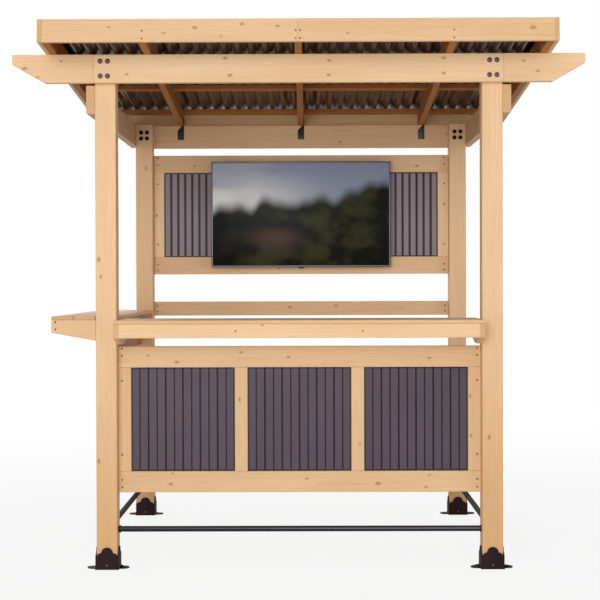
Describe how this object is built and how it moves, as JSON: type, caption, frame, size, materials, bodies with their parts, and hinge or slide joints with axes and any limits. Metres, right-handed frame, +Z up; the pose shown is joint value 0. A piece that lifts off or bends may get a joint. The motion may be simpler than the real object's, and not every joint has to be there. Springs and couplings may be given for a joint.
{
  "type": "bar gazebo",
  "caption": "Lean-to timber bar gazebo with a corrugated steel roof, ribbed panels, a bar counter, a side shelf and a wall-hung screen.",
  "frame": {"origin": "ground level under the middle of the whole outline", "axes": "+Z up, -Y towards the bar front, +X to the right seen from the front"},
  "size_m": [2.735, 2.1716, 2.5989],
  "materials": {
    "timber": "planed, light stain",
    "roof_steel": "dark brown, semi-gloss",
    "ribbed_panel": "dark grey, satin",
    "black_steel": "black powder coat",
    "dark_screen": "dark glass and plastic"
  },
  "bodies": {
    "root": {"back_beam": "timber", "back_fascia": "timber", "back_left_boot": "black_steel", "back_left_post": "timber", "back_right_boot": "black_steel", "back_right_post": "timber", "bar_counter_apron": "timber", "bar_counter_left_arm": "timber", "bar_counter_right_arm": "timber", "bar_counter_top": "timber", "bar_panel_bottom_rail": "timber", "bar_panel_ribs_1": "ribbed_panel", "bar_panel_ribs_2": "ribbed_panel", "bar_panel_ribs_3": "ribbed_panel", "bar_panel_stile_1": "timber", "bar_panel_stile_2": "timber", "bar_panel_stile_3": "timber", "bar_panel_stile_4": "timber", "bar_panel_top_rail": "timber", "front_beam": "timber", "front_beam_left_tail": "timber", "front_beam_right_tail": "timber", "front_fascia_left": "timber", "front_fascia_right": "timber", "front_foot_rail": "black_steel", "front_left_boot": "black_steel", "front_left_post": "timber", "front_right_boot": "black_steel", "front_right_post": "timber", "left_barge_board": "timber", "left_edge_rafter": "timber", "left_foot_rail": "black_steel", "left_rafter": "timber", "left_rafter_tie": "black_steel", "left_side_beam": "timber", "lower_back_rail": "timber", "middle_rafter": "timber", "middle_rafter_tie": "black_steel", "right_barge_board": "timber", "right_edge_rafter": "timber", "right_foot_rail": "black_steel", "right_rafter": "timber", "right_rafter_tie": "black_steel", "right_side_beam": "timber", "roof_batten_1": "timber", "roof_batten_2": "timber", "roof_batten_3": "timber", "roof_sheet": "roof_steel", "screen_panel_bottom_rail": "timber", "screen_panel_ribs": "ribbed_panel", "screen_panel_stile_1": "timber", "screen_panel_stile_2": "timber", "screen_panel_top_rail": "timber", "side_counter_back_arm": "timber", "side_counter_front_arm": "timber", "side_counter_rail": "timber", "side_counter_top": "timber", "television": "dark_screen"}
  },
  "joints": []
}
